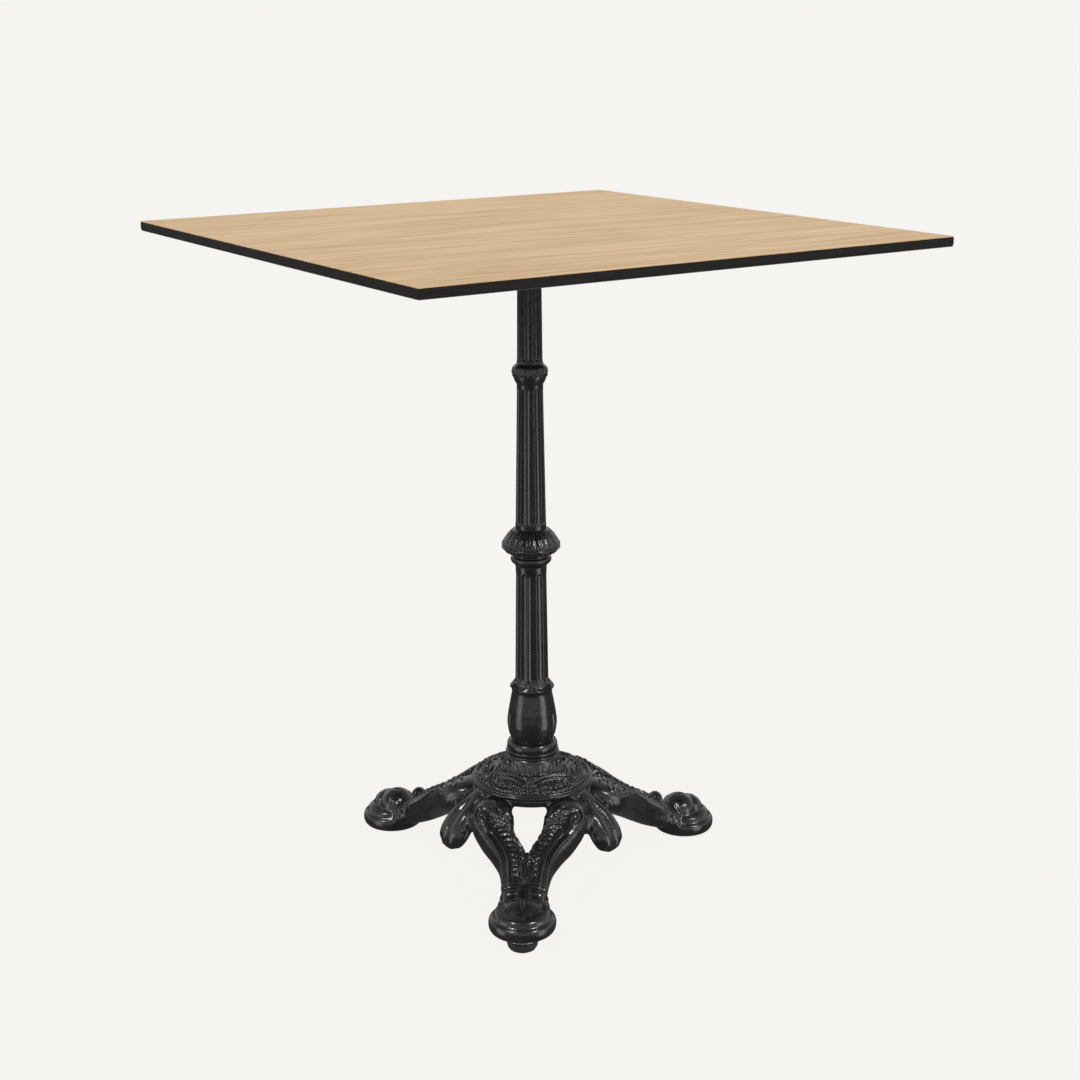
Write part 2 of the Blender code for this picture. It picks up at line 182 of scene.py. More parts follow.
def soft_profile(keys, heights, rounding):
    """Radii through (height, radius) keys with rounded corners."""
    key_heights, key_radii = np.array(keys).T
    fine = np.arange(heights[0] - 0.01, heights[-1] + 0.01, PROFILE_STEP)
    radii = np.interp(fine, key_heights, key_radii)
    reach = int(3 * rounding / PROFILE_STEP) + 1
    offsets = np.arange(-reach, reach + 1) * PROFILE_STEP
    bell = np.exp(-0.5 * (offsets / rounding) ** 2)
    radii = np.convolve(np.pad(radii, reach, mode="edge"), bell / bell.sum(), mode="valid")
    return np.interp(heights, fine, radii)


def petals(turn, level, count, shift=0.0, midrib=0.35):
    """Height, from 0 to 1, of a row of round-tipped leaves. level is 0 at their root and 1 at the tip."""
    across = np.abs((turn * count / math.tau + shift) % 1.0 - 0.5) * 2
    half_width = np.sqrt(np.clip(1 - np.clip(level, 0, 1) ** 3, 0, 1)) * 0.96
    inside = smoothstep(0.0, 0.22, half_width - across) * (level > 0) * (level < 1)
    rib = midrib * np.exp(-((across / 0.13) ** 2))
    return inside * (0.75 + 0.25 * (1 - across) - rib)


# ================================================================ materials
def node_material(name):
    material = bpy.data.materials.new(name)
    material.use_nodes = True
    nodes = material.node_tree.nodes
    return material, nodes, material.node_tree.links, nodes["Principled BSDF"]


def noise(nodes, links, coordinates, scale, detail=4.0, roughness=0.5, stretch=(1, 1, 1)):
    """A noise texture on real-scale coordinates."""
    mapping = nodes.new("ShaderNodeMapping")
    mapping.inputs["Scale"].default_value = stretch
    texture = nodes.new("ShaderNodeTexNoise")
    texture.inputs["Scale"].default_value = scale
    texture.inputs["Detail"].default_value = detail
    texture.inputs["Roughness"].default_value = roughness
    links.new(coordinates, mapping.inputs["Vector"])
    links.new(mapping.outputs["Vector"], texture.inputs["Vector"])
    return texture


def ramp(nodes, links, source, stops):
    made = nodes.new("ShaderNodeValToRGB")
    for index, (place, colour) in enumerate(stops):
        if index < 2:
            stop = made.color_ramp.elements[index]
            stop.position = place
        else:
            stop = made.color_ramp.elements.new(place)
        stop.color = (*colour, 1.0)
    links.new(source, made.inputs["Fac"])
    return made


def grey(value):
    return (value, value, value)


def multiplied(nodes, links, share, below, above):
    """A colour darkened by a share of the one above it."""
    made = nodes.new("ShaderNodeMix")
    made.data_type = "RGBA"
    made.blend_type = "MULTIPLY"
    made.inputs["Factor"].default_value = share
    links.new(below, made.inputs["A"])
    links.new(above, made.inputs["B"])
    return made.outputs["Result"]


def bump(nodes, links, height, strength, distance, before=None):
    made = nodes.new("ShaderNodeBump")
    made.inputs["Strength"].default_value = strength
    made.inputs["Distance"].default_value = distance
    links.new(height, made.inputs["Height"])
    if before is not None:
        links.new(before, made.inputs["Normal"])
    return made.outputs["Normal"]


def cast_iron_material():
    """Satin-gloss black paint over sand-cast iron, lightened on the high edges: partly thin worn paint,
    partly a painted highlight for glints on the crests.
    """
    material, nodes, links, shader = node_material("black_cast_iron")
    coordinates = nodes.new("ShaderNodeTexCoord").outputs["Object"]
    broad = noise(nodes, links, coordinates, 38.0, 3.0)
    grain = noise(nodes, links, coordinates, 620.0, 3.0, 0.6)
    pits = noise(nodes, links, coordinates, 190.0, 2.0, 0.5)
    paint = [(0.30, (0.0055, 0.0055, 0.0048)), (0.72, (0.0130, 0.0126, 0.0112))]
    colour = ramp(nodes, links, broad.outputs["Fac"], paint)
    # Sharp convex crests are mixed towards a light grey: partly paint wear, partly a painted highlight that
    # stands in for glints on the relief.
    geometry = nodes.new("ShaderNodeNewGeometry")
    edges = ramp(nodes, links, geometry.outputs["Pointiness"], [(0.535, grey(0.0)), (0.66, grey(1.0))])
    edge_wear_and_glint = nodes.new("ShaderNodeMix")
    edge_wear_and_glint.data_type = "RGBA"
    edge_wear_and_glint.inputs["B"].default_value = (0.130, 0.126, 0.116, 1.0)
    links.new(edges.outputs["Color"], edge_wear_and_glint.inputs["Factor"])
    links.new(colour.outputs["Color"], edge_wear_and_glint.inputs["A"])
    links.new(edge_wear_and_glint.outputs["Result"], shader.inputs["Base Color"])
    gloss = ramp(nodes, links, pits.outputs["Fac"], [(0.30, grey(0.17)), (0.75, grey(0.31))])
    links.new(gloss.outputs["Color"], shader.inputs["Roughness"])
    shader.inputs["Specular IOR Level"].default_value = 0.60
    rough_skin = bump(nodes, links, grain.outputs["Fac"], 0.25, 0.00018)
    pitted = bump(nodes, links, pits.outputs["Fac"], 0.40, 0.0005, rough_skin)
    links.new(pitted, shader.inputs["Normal"])
    return material


def oak_material():
    """Oak print on laminate: fine fibres, broader bands, a faint figure and slow drift along X."""
    material, nodes, links, shader = node_material("oak_laminate")
    coordinates = nodes.new("ShaderNodeTexCoord").outputs["Object"]
    fibres = noise(nodes, links, coordinates, 150.0, 7.0, 0.68, (0.050, 1.0, 1.0))
    bands = noise(nodes, links, coordinates, 19.0, 5.0, 0.6, (0.16, 1.0, 1.0))
    drift = noise(nodes, links, coordinates, 3.2, 2.0, 0.5, (0.35, 1.0, 1.0))
    figure = nodes.new("ShaderNodeTexWave")
    figure.wave_type = "BANDS"
    figure.bands_direction = "Y"
    figure.inputs["Scale"].default_value = 24.0
    figure.inputs["Distortion"].default_value = 5.5
    figure.inputs["Detail"].default_value = 3.0
    figure.inputs["Detail Scale"].default_value = 0.7
    stretched = nodes.new("ShaderNodeMapping")
    stretched.inputs["Scale"].default_value = (0.06, 1.0, 1.0)
    links.new(coordinates, stretched.inputs["Vector"])
    links.new(stretched.outputs["Vector"], figure.inputs["Vector"])
    shades = [(0.33, (0.480, 0.311, 0.147)), (0.52, (0.651, 0.448, 0.238)), (0.71, (0.749, 0.546, 0.322))]
    colour = ramp(nodes, links, fibres.outputs["Fac"], shades).outputs["Color"]
    white = (1.0, 1.0, 1.0)
    layers = [
        (bands, [(0.30, (0.86, 0.80, 0.72)), (0.65, white)], 0.55),
        (figure, [(0.25, (0.84, 0.78, 0.70)), (0.60, white)], 0.18),
        (drift, [(0.30, (0.93, 0.90, 0.87)), (0.70, white)], 0.50),
    ]
    for texture, stops, share in layers:
        tone = ramp(nodes, links, texture.outputs["Fac"], stops)
        colour = multiplied(nodes, links, share, colour, tone.outputs["Color"])
    links.new(colour, shader.inputs["Base Color"])
    gloss = ramp(nodes, links, fibres.outputs["Fac"], [(0.30, grey(0.50)), (0.80, grey(0.40))])
    links.new(gloss.outputs["Color"], shader.inputs["Roughness"])
    shader.inputs["Specular IOR Level"].default_value = 0.35
    links.new(bump(nodes, links, fibres.outputs["Fac"], 0.25, 0.0002), shader.inputs["Normal"])
    return material


def core_material():
    """Dark pressed core with a sawn and polished edge."""
    material, nodes, links, shader = node_material("compact_core")
    coordinates = nodes.new("ShaderNodeTexCoord").outputs["Object"]
    layers = noise(nodes, links, coordinates, 900.0, 4.0, 0.6, (0.05, 0.05, 1.0))
    dust = noise(nodes, links, coordinates, 1500.0, 2.0, 0.5)
    darks = [(0.30, (0.0090, 0.0083, 0.0076)), (0.75, (0.0190, 0.0175, 0.0160))]
    colour = ramp(nodes, links, layers.outputs["Fac"], darks)
    shader.inputs["Specular IOR Level"].default_value = 0.12
    links.new(colour.outputs["Color"], shader.inputs["Base Color"])
    gloss = ramp(nodes, links, dust.outputs["Fac"], [(0.3, grey(0.42)), (0.8, grey(0.60))])
    links.new(gloss.outputs["Color"], shader.inputs["Roughness"])
    links.new(bump(nodes, links, layers.outputs["Fac"], 0.3, 0.0002), shader.inputs["Normal"])
    return material


def backing_material():
    """Plain dark laminate with a fine pebbled skin."""
    material, nodes, links, shader = node_material("backing_laminate")
    coordinates = nodes.new("ShaderNodeTexCoord").outputs["Object"]
    pebble = noise(nodes, links, coordinates, 700.0, 2.0, 0.5)
    broad = noise(nodes, links, coordinates, 12.0, 3.0, 0.5)
    darks = [(0.30, (0.036, 0.034, 0.033)), (0.70, (0.050, 0.048, 0.046))]
    colour = ramp(nodes, links, broad.outputs["Fac"], darks)
    links.new(colour.outputs["Color"], shader.inputs["Base Color"])
    gloss = ramp(nodes, links, pebble.outputs["Fac"], [(0.3, grey(0.50)), (0.7, grey(0.66))])
    links.new(gloss.outputs["Color"], shader.inputs["Roughness"])
    links.new(bump(nodes, links, pebble.outputs["Fac"], 0.3, 0.00015), shader.inputs["Normal"])
    return material


def metal_material(name, low, high, rough_low, rough_high):
    """Plated or turned metal with a cloudy, lightly brushed skin."""
    material, nodes, links, shader = node_material(name)
    coordinates = nodes.new("ShaderNodeTexCoord").outputs["Object"]
    cloud = noise(nodes, links, coordinates, 220.0, 4.0, 0.6)
    brush = noise(nodes, links, coordinates, 900.0, 3.0, 0.5, (1.0, 1.0, 0.15))
    colour = ramp(nodes, links, cloud.outputs["Fac"], [(0.3, low), (0.7, high)])
    links.new(colour.outputs["Color"], shader.inputs["Base Color"])
    gloss = ramp(nodes, links, cloud.outputs["Fac"], [(0.3, grey(rough_low)), (0.7, grey(rough_high))])
    links.new(gloss.outputs["Color"], shader.inputs["Roughness"])
    shader.inputs["Metallic"].default_value = 1.0
    links.new(bump(nodes, links, brush.outputs["Fac"], 0.15, 0.0001), shader.inputs["Normal"])
    return material


def nylon_material():
    """Moulded black plastic with a fine matt texture."""
    material, nodes, links, shader = node_material("black_nylon")
    coordinates = nodes.new("ShaderNodeTexCoord").outputs["Object"]
    grain = noise(nodes, links, coordinates, 1200.0, 2.0, 0.5)
    colour = ramp(nodes, links, grain.outputs["Fac"], [(0.3, grey(0.014)), (0.7, grey(0.024))])
    links.new(colour.outputs["Color"], shader.inputs["Base Color"])
    gloss = ramp(nodes, links, grain.outputs["Fac"], [(0.3, grey(0.45)), (0.7, grey(0.60))])
    links.new(gloss.outputs["Color"], shader.inputs["Roughness"])
    links.new(bump(nodes, links, grain.outputs["Fac"], 0.3, 0.0001), shader.inputs["Normal"])
    return material


IRON = cast_iron_material()
OAK = oak_material()
CORE = core_material()
BACKING = backing_material()
STEEL = metal_material("zinc_steel", (0.50, 0.50, 0.48), (0.68, 0.68, 0.66), 0.28, 0.42)
BRASS = metal_material("brass", (0.62, 0.45, 0.20), (0.78, 0.60, 0.30), 0.25, 0.40)
NYLON = nylon_material()
SLOT_MATERIALS = {
    "black_cast_iron": IRON, "oak_laminate": OAK, "compact_core": CORE, "backing_laminate": BACKING,
    "zinc_steel": STEEL, "brass": BRASS, "black_nylon": NYLON,
}


def dress_frame_nodes():
    """Every CAD node gets the worked-up material of its slot."""
    slots = {part["node"]: part["material_slot"] for part in frame["record"]["subparts"]}
    for name, node in frame["nodes"].items():
        node.data.materials.clear()
        node.data.materials.append(SLOT_MATERIALS[slots[name]])


# ================================================================ column
FLUTES = 12
FLUTE_DEPTH = 0.0015
FLUTE_SHARE = 0.80


def flutes(turn, height, radius, low, high):
    """Depth of round-ended scoops between two heights."""
    pitch = math.tau / FLUTES
    across = np.abs((turn + pitch / 2) % pitch - pitch / 2) * radius
    half_width = FLUTE_SHARE * pitch / 2 * radius
    past = np.maximum(np.maximum(low + half_width - height, height - high + half_width), 0.0)
    distance = np.sqrt(across ** 2 + past ** 2) / half_width
    return FLUTE_DEPTH * np.sqrt(np.clip(1 - distance ** 2, 0, 1)) ** 1.3


def bead_leaves(turn, height, low, high, count, depth):
    """Leaves that fold down from the top of a bead, in two overlapping rows."""
    level = (high - height) / (high - low)
    front = petals(turn, level, count)
    behind = petals(turn, level * 0.82, count, 0.5)
    lobes = 0.30 * np.cos(turn * count * 3) * np.exp(-(((level - 0.50) / 0.28) ** 2))
    return depth * (np.maximum(front, 0.7 * behind) + lobes) * smoothstep(0.0, 0.35, level)


def make_upper_column():
    low, high = (corner.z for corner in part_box("upper_column"))
    bead = 0.5615
    keys = [
        (low, 0.0166), (low + 0.150, 0.0140), (bead - 0.0125, 0.0139), (bead - 0.0100, 0.0158),
        (bead - 0.0050, 0.0176), (bead, 0.0174), (bead + 0.0050, 0.0160), (bead + 0.0090, 0.0142),
        (bead + 0.0105, 0.0136), (0.660, 0.0128), (0.666, 0.0131), (high, 0.0147),
    ]
    fine = [(low, low + 0.012), (bead - 0.026, bead + 0.024), (0.655, high)]
    heights = graded_heights(low, high, fine)

    def radius_at(turn, height):
        base = np.repeat(soft_profile(keys, heights, 0.0006)[:, None], turn.shape[1], axis=1)
        base -= flutes(turn, height, base, low + 0.005, bead - 0.0165)
        base -= flutes(turn, height, base, bead + 0.0125, 0.664)
        base += bead_leaves(turn, height, bead - 0.002, bead + 0.0092, 9, 0.0019)
        return base

    column = bored_column("upper_column_casting", heights, FLUTES * 16, radius_at, IRON)
    stand_for(column, TABLE_BODY, "black_cast_iron", "upper_column")


def vase_leaves(turn, height, low, high):
    """Three broad smooth leaves round the vase, parted by narrow valleys, with curled tips."""
    local = turn - FRONT_ANGLE
    level = (height - low) / (high - low)
    across = np.abs((local * 3 / math.tau + 0.5) % 1.0 - 0.5) * 2
    edge = 0.93 * np.sqrt(np.clip(1 - np.clip(level, 0, 1) ** 6, 0, 1))
    leaf = smoothstep(0.0, 0.10, edge - across) * smoothstep(-0.02, 0.10, level) * (level < 1)
    rib = 0.25 * np.exp(-((across / 0.05) ** 2)) * smoothstep(0.2, 0.9, level)
    curl = 0.0030 * np.exp(-(((level - 0.92) / 0.045) ** 2)) * smoothstep(0.0, 0.20, 0.72 - across)
    small = petals(local, (height - low - 0.030) / (high - low - 0.028), 3)
    return 0.0017 * (leaf - rib) + curl + 0.0011 * small * (1 - leaf)


def make_lower_column():
    low, high = (corner.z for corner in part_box("lower_column"))
    vase_top = 0.2175
    keys = [
        (low, 0.0226), (low + 0.004, 0.0231), (low + 0.011, 0.0246), (low + 0.019, 0.0257),
        (low + 0.024, 0.0256), (low + 0.034, 0.0243), (low + 0.046, 0.0221), (low + 0.057, 0.0201),
        (low + 0.064, 0.0195), (vase_top, 0.0196), (vase_top + 0.003, 0.0184), (high - 0.010, 0.0167),
        (high, 0.0168),
    ]
    fine = [(low, vase_top + 0.020), (high - 0.022, high)]
    heights = graded_heights(low, high, fine, 0.0006)

    def radius_at(turn, height):
        base = np.repeat(soft_profile(keys, heights, 0.0006)[:, None], turn.shape[1], axis=1)
        base -= flutes(turn, height, base, vase_top + 0.0035, high - 0.007)
        base += vase_leaves(turn, height, low + 0.002, vase_top - 0.0005)
        return base

    column = bored_column("lower_column_casting", heights, FLUTES * 16, radius_at, IRON)
    stand_for(column, TABLE_BODY, "black_cast_iron", "lower_column")


def make_mid_collar():
    low, high = (corner.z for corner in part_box("mid_collar"))
    corners = [
        (BORE, low), (0.0176, low), (0.0184, low + 0.0020), (0.0212, low + 0.0042),
        (0.0222, low + 0.0070), (0.0216, low + 0.0096), (0.0196, low + 0.0112), (0.0196, low + 0.0130),
        (0.0225, low + 0.0145), (0.0262, low + 0.0158), (0.0280, low + 0.0160), (0.0284, low + 0.0174),
        (0.0286, low + 0.0186), (0.0308, low + 0.0194), (0.0318, low + 0.0208), (0.0312, low + 0.0224),
        (0.0302, low + 0.0232), (0.0304, low + 0.0242), (0.0278, low + 0.0285),
        (0.0248, low + 0.0330), (0.0216, low + 0.0366), (0.0196, low + 0.0380), (0.0184, low + 0.0396),
        (0.0170, high), (BORE, high),
    ]

    def relief(turn, radius, height, normal):
        outer = smoothstep(0.0150, 0.0175, radius)
        level = (0.0310 - radius) / (0.0310 - 0.0190)
        above = height > low + 0.0235
        front = petals(turn, 1 - level, 16)
        behind = petals(turn, (1 - level) * 0.85, 16, 0.5)
        leaves = 0.0015 * np.maximum(front, 0.75 * behind) * above
        beads = 0.0004 * np.cos(turn * 36) * np.exp(-(((height - low - 0.0180) / 0.0012) ** 2))
        return outer * (leaves + beads)

    collar = turned_piece("mid_collar_casting", corners, 288, IRON, relief, 0.0005, 0.0004)
    stand_for(collar, TABLE_BODY, "black_cast_iron", "mid_collar")


# ================================================================ dome
def spiral(centre, start_angle, turns, start_radius, end_radius, hand=1, count=40):
    """Points of a scroll in a flat (along, out) plane."""
    share = np.linspace(0, 1, count)
    angle = start_angle + hand * turns * math.tau * share
    reach = start_radius + (end_radius - start_radius) * share
    return np.stack([centre[0] + reach * np.cos(angle), centre[1] + reach * np.sin(angle)], axis=1)


def arc_between(start, end, bulge, count):
    """A bowed line between two flat points."""
    start, end = np.array(start), np.array(end)
    share = np.linspace(0, 1, count)[:, None]
    side = np.array([-(end - start)[1], (end - start)[0]])
    return start + (end - start) * share + side * bulge * 4 * share * (1 - share)


class Relief:
    """Raised or sunk lines: a skin point's height falls off with its distance from the nearest line."""

    def __init__(self):
        self.groups = {}

    def add(self, points, width, height):
        self.groups.setdefault((width, height), []).extend(points)

    def heights(self, skin):
        total = np.zeros(len(skin))
        for (width, height), points in self.groups.items():
            tree = KDTree(len(points))
            for index, point in enumerate(points):
                tree.insert(point, index)
            tree.balance()
            distance = np.array([tree.find(point)[2] for point in skin])
            total += height * np.sqrt(np.clip(1 - (distance / width) ** 2, 0, 1))
        return total


DOME_SECTORS = 6


def dome_pattern():
    """One sector of the dome's relief, as lines of (arc along the middle circle, radius)."""
    lines = [
        arc_between((-0.0210, 0.0520), (0.0210, 0.0520), -0.20, 60),
        arc_between((-0.0210, 0.0520), (0.0210, 0.0520), 0.24, 60),
        arc_between((-0.0240, 0.0460), (0.0240, 0.0460), -0.19, 60),
        arc_between((-0.0250, 0.0415), (0.0250, 0.0415), -0.10, 60),
        arc_between((0.0, 0.0490), (0.0, 0.0560), 0.0, 10),
    ]
    for hand in (1, -1):
        inward = math.pi * (0.5 - 0.5 * hand)
        lines.append(spiral((hand * 0.0058, 0.0522), inward, 1.4, 0.0040, 0.0008, hand))
        lines.append(spiral((hand * 0.0200, 0.0590), math.pi * 0.5, 1.2, 0.0036, 0.0008, -hand))
        lines.append(spiral((hand * 0.0235, 0.0385), -math.pi * 0.5, 1.1, 0.0036, 0.0008, hand))
        for stroke in range(3):
            start = hand * (0.0110 + 0.0032 * stroke)
            lines.append(arc_between((start, 0.0495), (start + hand * 0.0022, 0.0545), hand * 0.15, 12))
        for stroke in range(4):
            out = 0.0405 + 0.0055 * stroke
            lines.append(arc_between((hand * 0.0258, out), (hand * 0.0222, out + 0.0040), hand * 0.2, 12))
    for tooth in range(11):
        along = -0.0240 + 0.0048 * tooth
        lines.append(arc_between((along, 0.0612), (along, 0.0638), 0.0, 5))
    return lines


def make_base_dome():
    low, high = (corner.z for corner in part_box("base_dome"))
    corners = [
        (BORE, high), (0.0252, high), (0.0264, 0.1486), (0.0276, 0.1462), (0.0279, 0.1440),
        (0.0276, 0.1420), (0.0270, 0.1408),
    ]
    for number in range(2):
        middle = 0.1394 - 0.0042 * number
        reach = 0.0268 + 0.0009 * number
        corners += [(reach - 0.0006, middle + 0.0015), (reach + 0.0019, middle + 0.0009)]
        corners += [(reach + 0.0021, middle - 0.0007), (reach - 0.0004, middle - 0.0014)]
    corners += [
        (0.0290, 0.1320), (0.0302, 0.1270), (0.0312, 0.1230), (0.0328, 0.1196), (0.0360, 0.1184),
        (0.0430, 0.1168), (0.0500, 0.1148), (0.0570, 0.1118), (0.0615, 0.1096), (0.0622, 0.1084),
        (0.0634, 0.1092), (0.0646, 0.1086), (0.0650, 0.1068), (0.0660, 0.1072), (0.0672, 0.1062),
        (0.0674, 0.1045), (0.0664, low), (0.0600, low), (0.0560, 0.1060), (0.0470, 0.1100),
        (0.0360, 0.1125), (0.0240, 0.1125), (0.0240, low), (BORE, low),
    ]
    corners = corners[::-1]
    lines = dome_pattern()

    def relief(turn, radius, height, normal):
        on_top = (normal[:, 1:2] > 0.2) & (height > low + 0.0035) & (radius > 0.0335) & (radius < 0.0618)
        sector = math.tau / DOME_SECTORS
        local = (turn - FRONT_ANGLE) % sector - sector / 2
        flat = np.stack([local * 0.050, radius], axis=2)
        distance = np.full(turn.shape, 1.0)
        for line in lines:
            for point in line:
                distance = np.minimum(distance, np.hypot(flat[..., 0] - point[0], flat[..., 1] - point[1]))
        scroll = 0.0024 * np.sqrt(np.clip(1 - (distance / 0.0012) ** 2, 0, 1))
        neck = (radius > 0.0270) & (radius <= 0.0335) & (height > 0.1190) & (height < 0.1300)
        drops = 0.0017 * petals(turn, (height - 0.1190) / 0.0105, 12) * neck
        return scroll * on_top + drops

    dome = turned_piece("base_dome_casting", corners, 420, IRON, relief, 0.0006, 0.0005)
    stand_for(dome, TABLE_BODY, "black_cast_iron", "base_dome")


# ================================================================ tripod casting
CASTING_VOXEL = 0.0013
HUB_PLAIN_RADIUS = 0.060
SOLE_PLAIN_HEIGHT = 0.006
SLIVER = 0.00002
BALL_RISE = 0.6
BALL_SQUASH = 0.25
GLIDE_BUSH_BORE = 0.0083
GLIDE_BUSH_TOP = FOOT_LIFT + 0.0170
GLIDE_STEM_BORE = 0.0060
GLIDE_STEM_TOP = FOOT_LIFT + 0.0225


def smooth_stations(stations, count):
    """Stations read off a smooth curve through the given ones."""
    keys = np.array(stations, float)
    steps = np.linalg.norm(np.diff(keys[:, :3], axis=0), axis=1)
    places = np.concatenate([[0], np.cumsum(steps)])
    wanted = np.linspace(0, places[-1], count)
    slopes = np.gradient(keys, places, axis=0)
    index = np.clip(np.searchsorted(places, wanted) - 1, 0, len(keys) - 2)
    span = (places[index + 1] - places[index])[:, None]
    share = (wanted - places[index])[:, None] / span
    start, end = keys[index], keys[index + 1]
    first, second = slopes[index] * span, slopes[index + 1] * span
    return (
        (2 * share ** 3 - 3 * share ** 2 + 1) * start + (share ** 3 - 2 * share ** 2 + share) * first
        + (3 * share ** 2 - 2 * share ** 3) * end + (share ** 3 - share ** 2) * second
    )


class Sweep:
    """A smooth sweep of rounded sections through (x, y, z, half width, half height) stations."""

    def __init__(self, stations, count, sides=28, power=2.5):
        self.rows = smooth_stations(stations, count)
        self.sides = sides
        self.power = power
        along = np.gradient(self.rows[:, :3], axis=0)
        along /= np.linalg.norm(along, axis=1, keepdims=True)
        sideways = np.cross([0, 0, 1], along)
        sideways /= np.linalg.norm(sideways, axis=1, keepdims=True)
        self.sideways = sideways
        self.upwards = np.cross(along, sideways)

    def point(self, share, turn):
        """Points of the skin at shares of the length and section angles."""
        place = np.clip(share, 0, 1) * (len(self.rows) - 1)
        scale = np.arange(len(self.rows))
        row = [np.interp(place, scale, self.rows[:, column]) for column in range(5)]
        cosine, sine = np.cos(turn), np.sin(turn)
        wide = np.sign(cosine) * np.abs(cosine) ** (2 / self.power) * row[3]
        high = np.sign(sine) * np.abs(sine) ** (2 / self.power) * row[4]
        made = []
        for axis in range(3):
            side = np.interp(place, scale, self.sideways[:, axis])
            rise = np.interp(place, scale, self.upwards[:, axis])
            made.append(row[axis] + side * wide + rise * high)
        return np.stack(made, axis=-1)

    def solid(self):
        """(points, faces) of the closed sweep."""
        share = np.linspace(0, 1, len(self.rows))[:, None]
        turn = (math.tau * np.arange(self.sides) / self.sides)[None, :]
        skin = self.point(np.repeat(share, self.sides, 1), np.repeat(turn, len(self.rows), 0)).reshape(-1, 3)
        faces = ring_faces(len(self.rows), self.sides)[: (len(self.rows) - 1) * self.sides]
        last = (len(self.rows) - 1) * self.sides
        faces.append(tuple(range(self.sides))[::-1])
        faces.append(tuple(range(last, last + self.sides)))
        return skin, faces


def ball_solid(centre, radii, segments=32, rings=16):
    points = [(0.0, 0.0, -1.0)]
    for ring in range(1, rings):
        polar = math.pi * ring / rings
        for segment in range(segments):
            turn = math.tau * segment / segments
            out = math.sin(polar)
            points.append((out * math.cos(turn), out * math.sin(turn), -math.cos(polar)))
    points.append((0.0, 0.0, 1.0))
    faces = []
    for segment in range(segments):
        following = (segment + 1) % segments
        faces.append((0, 1 + following, 1 + segment))
        top = 1 + (rings - 2) * segments
        faces.append((top + segment, top + following, len(points) - 1))
        for ring in range(rings - 2):
            base = 1 + ring * segments
            above = base + segments
            faces.append((base + segment, base + following, above + following, above + segment))
    return np.array(points) * np.array(radii) + np.array(centre), faces


def turned_solid(outline, centre=(0, 0, 0), steps=64):
    """A turned shape whose outline starts and ends on the axis, bottom to top."""
    points = [(0.0, 0.0, outline[0][1])]
    for radius, height in outline[1:-1]:
        for step in range(steps):
            turn = math.tau * step / steps
            points.append((radius * math.cos(turn), radius * math.sin(turn), height))
    points.append((0.0, 0.0, outline[-1][1]))
    rows = len(outline) - 2
    faces = []
    for step in range(steps):
        following = (step + 1) % steps
        faces.append((0, 1 + following, 1 + step))
        top = 1 + (rows - 1) * steps
        faces.append((top + step, top + following, len(points) - 1))
        for row in range(rows - 1):
            base = 1 + row * steps
            above = base + steps
            faces.append((base + step, base + following, above + following, above + step))
    return np.array(points) + np.array(centre), faces


def turned_about_z(points, angle):
    cosine, sine = math.cos(angle), math.sin(angle)
    points = np.asarray(points)
    return np.stack([
        points[..., 0] * cosine - points[..., 1] * sine,
        points[..., 0] * sine + points[..., 1] * cosine,
        points[..., 2],
    ], axis=-1)


def leg_branch(side, lift):
    level = [
        (0.046, side * 0.0260, 0.0965, 0.0120, 0.0055), (0.060, side * 0.0367, 0.0895, 0.0209, 0.0120),
        (0.074, side * 0.0396, 0.0800, 0.0225, 0.0160), (0.090, side * 0.0335, 0.0690, 0.0195, 0.0165),
        (0.107, side * 0.0230, 0.0570, 0.0175, 0.0160), (0.125, side * 0.0148, 0.0450, 0.0155, 0.0160),
        (0.145, side * 0.0115, 0.0335, 0.0142, 0.0155), (0.163, side * 0.0095, 0.0240, 0.0145, 0.0130),
        (0.182, side * 0.0080, 0.0180, 0.0140, 0.0090),
    ]
    share = [min(max((station[0] - 0.090) / 0.080, 0.0), 1.0) for station in level]
    return [(x, y, z + lift * s, w, h) for (x, y, z, w, h), s in zip(level, share)]


def leg_spine(lift):
    return [
        (0.121, 0, 0.0475 + lift * 0.4, 0.0100, 0.0125), (0.145, 0, 0.0335 + lift * 0.7, 0.0110, 0.0125),
        (0.166, 0, 0.0235 + lift, 0.0110, 0.0115), (0.192, 0, 0.0175 + lift, 0.0110, 0.0080),
    ]


TONGUE = [
    (0.048, 0, 0.0975, 0.0110, 0.0045), (0.064, 0, 0.0915, 0.0145, 0.0080),
    (0.078, 0, 0.0790, 0.0180, 0.0090), (0.090, 0, 0.0640, 0.0212, 0.0095),
    (0.0985, 0, 0.0530, 0.0208, 0.0095), (0.103, 0, 0.0465, 0.0160, 0.0078),
    (0.1058, 0, 0.0420, 0.0085, 0.0045),
]


def web(side):
    return [
        (0.0860, side * 0.002, 0.0705, 0.0050, 0.0125), (0.0830, side * 0.019, 0.0735, 0.0055, 0.0110),
        (0.0755, side * 0.033, 0.0760, 0.0055, 0.0115), (0.0660, side * 0.046, 0.0790, 0.0050, 0.0110),
    ]


FOOT_OUTLINE = [
    (0, 0), (0.0290, 0), (0.0330, 0.0016), (0.0346, 0.0050), (0.0350, 0.0090), (0.0344, 0.0128),
    (0.0328, 0.0150), (0.0306, 0.0158), (0.0298, 0.0154), (0.0300, 0.0170), (0.0294, 0.0190),
    (0.0268, 0.0226), (0, 0.0228),
]


